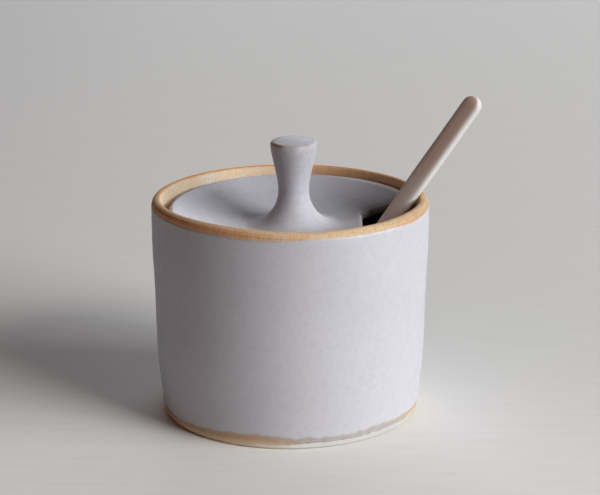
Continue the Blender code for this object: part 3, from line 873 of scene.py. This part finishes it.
    points = np.array(rows)
    glaze = np.array(glaze)
    tilt = LID_TILT * (1 + np.cos(np.arctan2(points[..., 1], points[..., 0]) - LID_TILT_ANGLE))
    points[..., 2] += tilt * np.minimum(np.linalg.norm(points[..., :2], axis=-1) / LID_RADIUS, 1)
    points += (LID_X, 0, LID_SEAT_Z)
    tips = [(LID_X, 0, LID_SEAT_Z + KNOB_TOP + KNOB_CROWN), (LID_X, 0, LID_SEAT_Z + DISH_FLOOR - LID_WALL)]
    attributes = {
        "glaze_mm": glaze,
        "toast": np.full(glaze.shape, LID_TOAST),
        "dirt_and_shade": np.array(dirt_and_shade),
        "iron": np.array(iron),
        "chips_and_highlights": np.array(chips_and_highlights),
        "wiped": np.full(glaze.shape, UNWIPED),
    }
    return make_piece("knobbed_lid", points, tips, attributes, material, inside_out=True)


def handle_ring(angles):
    """Section of the handle, a rounded rectangle, in width and thickness."""
    power = 2 / HANDLE_SQUARENESS
    across = np.sign(np.cos(angles)) * np.abs(np.cos(angles)) ** power
    down = np.sign(np.sin(angles)) * np.abs(np.sin(angles)) ** power
    return np.stack([HANDLE_WIDTH / 2 * across, -HANDLE_THICKNESS / 2 * down], axis=1)


def make_spoon(material):
    angles = np.linspace(0, 2 * math.pi, SPOON_STEPS, endpoint=False)
    handle = handle_ring(angles)
    outwards = np.array((-math.sin(SPOON_ROLL), -math.cos(SPOON_ROLL)))
    bowl_back = math.hypot(BOWL_WIDTH / 2 * outwards[0], BOWL_DEPTH * outwards[1])
    bowl_rim = (bowl_back - (handle @ outwards).max()) / math.cos(SPOON_ROLL)
    bowl_height = np.where(np.sin(angles) > 0, BOWL_DEPTH, BOWL_CROWN)
    bowl = np.stack([BOWL_WIDTH / 2 * np.cos(angles), -bowl_height * np.sin(angles)], axis=1)
    upper = np.sin(angles) <= 0
    hollow = np.array((BOWL_WIDTH / 2 - BOWL_WALL, BOWL_TIP_TO_WIDEST - BOWL_WALL))
    bowl_end = BOWL_TIP_TO_WIDEST + BOWL_WIDEST_TO_HANDLE
    tip_turns = np.linspace(0.08, math.pi / 2, 26)
    stations = [(BOWL_TIP_TO_WIDEST * (1 - math.cos(t)), math.sin(t), 0.0) for t in tip_turns]
    for along in np.linspace(0, 1, 36)[1:]:
        stations.append((BOWL_TIP_TO_WIDEST + BOWL_WIDEST_TO_HANDLE * along, 1.0, smoothstep(0, 1, along)))
    straight = np.linspace(bowl_end, SPOON_LENGTH - HANDLE_WIDTH / 2, 90)[1:]
    stations += [(z, 1.0, 1.0) for z in straight]
    rows = []
    for z, scale, share in stations:
        section = (bowl * scale + (0, bowl_rim)) * (1 - share) + handle * share
        span = (section[:, 0] / hollow[0]) ** 2 + ((z - BOWL_TIP_TO_WIDEST) / hollow[1]) ** 2
        dip = (BOWL_DEPTH - BOWL_WALL) * np.sqrt(np.clip(1 - span, 0, 1)) * smoothstep(1, 0.75, span)
        section[:, 1] -= np.where(upper, dip, 0)
        rows.append(np.column_stack([section, np.full(SPOON_STEPS, z)]))
    for turn in np.linspace(0, math.pi / 2, 16)[1:-1]:
        narrow = math.cos(turn)
        z = SPOON_LENGTH - HANDLE_WIDTH / 2 * (1 - math.sin(turn))
        rows.append(np.column_stack([handle * (narrow, math.sqrt(narrow)), np.full(SPOON_STEPS, z)]))
    points = np.array(rows)
    z = points[..., 2]
    points[..., 1] *= 1 + HANDLE_SWELL * smoothstep(*HANDLE_SWELL_SPAN, z)
    twist = HANDLE_TWIST * smoothstep(*HANDLE_TWIST_SPAN, z)
    across, through = points[..., 0].copy(), points[..., 1].copy()
    points[..., 0] = across * np.cos(twist) - through * np.sin(twist)
    points[..., 1] = across * np.sin(twist) + through * np.cos(twist)
    hand = np.array([noise.noise(Vector((0.3, 0.7, 0.06 * height))) for height in z[:, 0]])
    points[..., 0] += HANDLE_WANDER * hand[:, None] * smoothstep(*HANDLE_WANDER_SPAN, z)
    reach = np.abs(across) / np.abs(across).max(axis=1, keepdims=True)
    # Shares of the paler narrow sides, sanded and with painted highlight, and of painted light reflected
    # from the jar low on the handle.
    attributes = {
        "side": smoothstep(*HANDLE_SIDE, reach) * smoothstep(*HANDLE_SIDE_SPAN, z),
        "painted_light": smoothstep(*HANDLE_REFLECTED_LIGHT_SPAN, z),
    }
    tips = [(0, bowl_rim, 0), (0, 0, SPOON_LENGTH)]
    turn = Matrix.Rotation(SPOON_LEAN, 4, "Y") @ Matrix.Rotation(math.pi / 2 + SPOON_ROLL, 4, "Z")
    place = Matrix.Translation(SPOON_TIP * MM) @ turn
    return make_piece("wooden_spoon", points, tips, attributes, material, inside_out=True, place=place)


def make_floor():
    n = Nodes("pale_floor")
    place = n.place()
    brush = n.noise(n.stretched(place, (40, 300, 1)), 1, 4, 0.6)
    axes = n.add("SeparateXYZ")
    n.put(axes.inputs[0], place)
    # Painted light: the floor is brighter in front and darker far back and to the left.
    paint = n.mix(n.ramp(axes.outputs["Y"], -0.1, 0.03), GROUND_NEAR, GROUND_FAR)
    paint = n.mix(n.ramp(axes.outputs["X"], -0.04, -0.25, 0, 0.7), paint, GROUND_LEFT)
    paint = n.mix(n.ramp(brush, 0.4, 0.75, 0, 0.16), paint, GROUND_BRUSHED)
    # What the main view leaves out is dimmed, so that it neither fills the shadow nor glares in other views.
    seen = n.add("LightPath").outputs["Is Camera Ray"]
    bounced = n.math("SUBTRACT", 1.0, seen)
    for rays, axis, near, far, grey in (
        (bounced, "Y", -0.11, -0.3, 0.1),
        (bounced, "X", 0.16, 0.4, 0.1),
        (seen, "Y", -0.15, -1.2, 0.2),
        (seen, "X", 0.25, 1.2, 0.2),
    ):
        outer = n.math("MULTIPLY", n.ramp(axes.outputs[axis], near, far, 0, 0.9), rays)
        paint = n.mix(outer, paint, (grey, grey, grey))
    n.put(n.shader.inputs["Base Color"], paint)
    n.shader.inputs["Roughness"].default_value = 0.75
    n.shader.inputs["Specular IOR Level"].default_value = 0.2
    mesh = bpy.data.meshes.new("floor")
    corners = [(x * GROUND_REACH, y * GROUND_REACH, 0) for x, y in ((-1, -1), (1, -1), (1, 1), (-1, 1))]
    mesh.from_pydata(corners, [], [(0, 1, 2, 3)])
    mesh.materials.append(n.material)
    floor = bpy.data.objects.new("floor", mesh)
    floor.location.z = -GROUND_DROP
    bpy.context.scene.collection.objects.link(floor)


def make_world():
    world = bpy.data.worlds.new("studio")
    bpy.context.scene.world = world
    world.use_nodes = True
    nodes, links = world.node_tree.nodes, world.node_tree.links
    light = nodes["Background"]
    light.inputs["Color"].default_value = (*WORLD_LIGHT, 1)
    light.inputs["Strength"].default_value = WORLD_STRENGTH
    seen = nodes.new("ShaderNodeBackground")
    seen.inputs["Color"].default_value = (*BACKDROP, 1)
    path = nodes.new("ShaderNodeLightPath")
    either = nodes.new("ShaderNodeMath")
    either.operation = "MAXIMUM"
    links.new(path.outputs["Is Camera Ray"], either.inputs[0])
    glossy = nodes.new("ShaderNodeMath")
    glossy.operation = "MAXIMUM"
    links.new(path.outputs["Is Glossy Ray"], glossy.inputs[0])
    links.new(path.outputs["Is Transmission Ray"], glossy.inputs[1])
    links.new(glossy.outputs[0], either.inputs[1])
    mix = nodes.new("ShaderNodeMixShader")
    links.new(either.outputs[0], mix.inputs[0])
    links.new(light.outputs[0], mix.inputs[1])
    links.new(seen.outputs[0], mix.inputs[2])
    links.new(mix.outputs[0], nodes["World Output"].inputs["Surface"])


def make_lamp(name, angle_deg, rise_deg, roll_deg, width, height, power, colour):
    """A soft light at an angle round the jar, so many degrees above the floor, with its face to the jar."""
    lamp = bpy.data.lights.new(name, "AREA")
    lamp.shape = "RECTANGLE"
    lamp.size = width
    lamp.size_y = height
    lamp.energy = power
    lamp.color = colour
    obj = bpy.data.objects.new(name, lamp)
    swing = Matrix.Rotation(math.radians(angle_deg + 90), 4, "Z")
    swing = swing @ Matrix.Rotation(math.radians(90 - rise_deg), 4, "X")
    away = Matrix.Translation((0, 0, LAMP_DISTANCE))
    obj.matrix_world = swing @ away @ Matrix.Rotation(math.radians(roll_deg), 4, "Z")
    bpy.context.scene.collection.objects.link(obj)


def make_camera():
    camera = bpy.data.cameras.new("camera")
    camera.sensor_width = SENSOR_WIDTH
    camera.lens = FOCAL_PIXELS * SENSOR_WIDTH / IMAGE_WIDTH
    obj = bpy.data.objects.new("camera", camera)
    obj.location = CAMERA_PLACE * MM
    obj.rotation_euler = (math.pi / 2 - CAMERA_PITCH, 0, -CAMERA_YAW)
    bpy.context.scene.collection.objects.link(obj)
    bpy.context.scene.camera = obj


def main():
    scene = bpy.context.scene
    scene.view_settings.view_transform = "Standard"
    for name in ("Cube", "Light", "Camera"):
        if name in bpy.data.objects:
            bpy.data.objects.remove(bpy.data.objects[name])
    make_camera()
    make_floor()
    make_world()
    for name, settings in LAMPS.items():
        make_lamp(name, *settings)
    jar_clay = stoneware("jar_stoneware", *JAR_GLAZE)
    lid_clay = stoneware("lid_stoneware", *LID_GLAZE)
    for piece, body, node, slot in (
        (make_jar(jar_clay), "jar", "jar_body", "jar_glaze"),
        (make_lid(lid_clay), "lid", "lid", "lid_glaze"),
        (make_spoon(pale_wood()), "spoon", "spoon", "pale_wood"),
    ):
        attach(piece, body)
        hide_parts(node)


main()
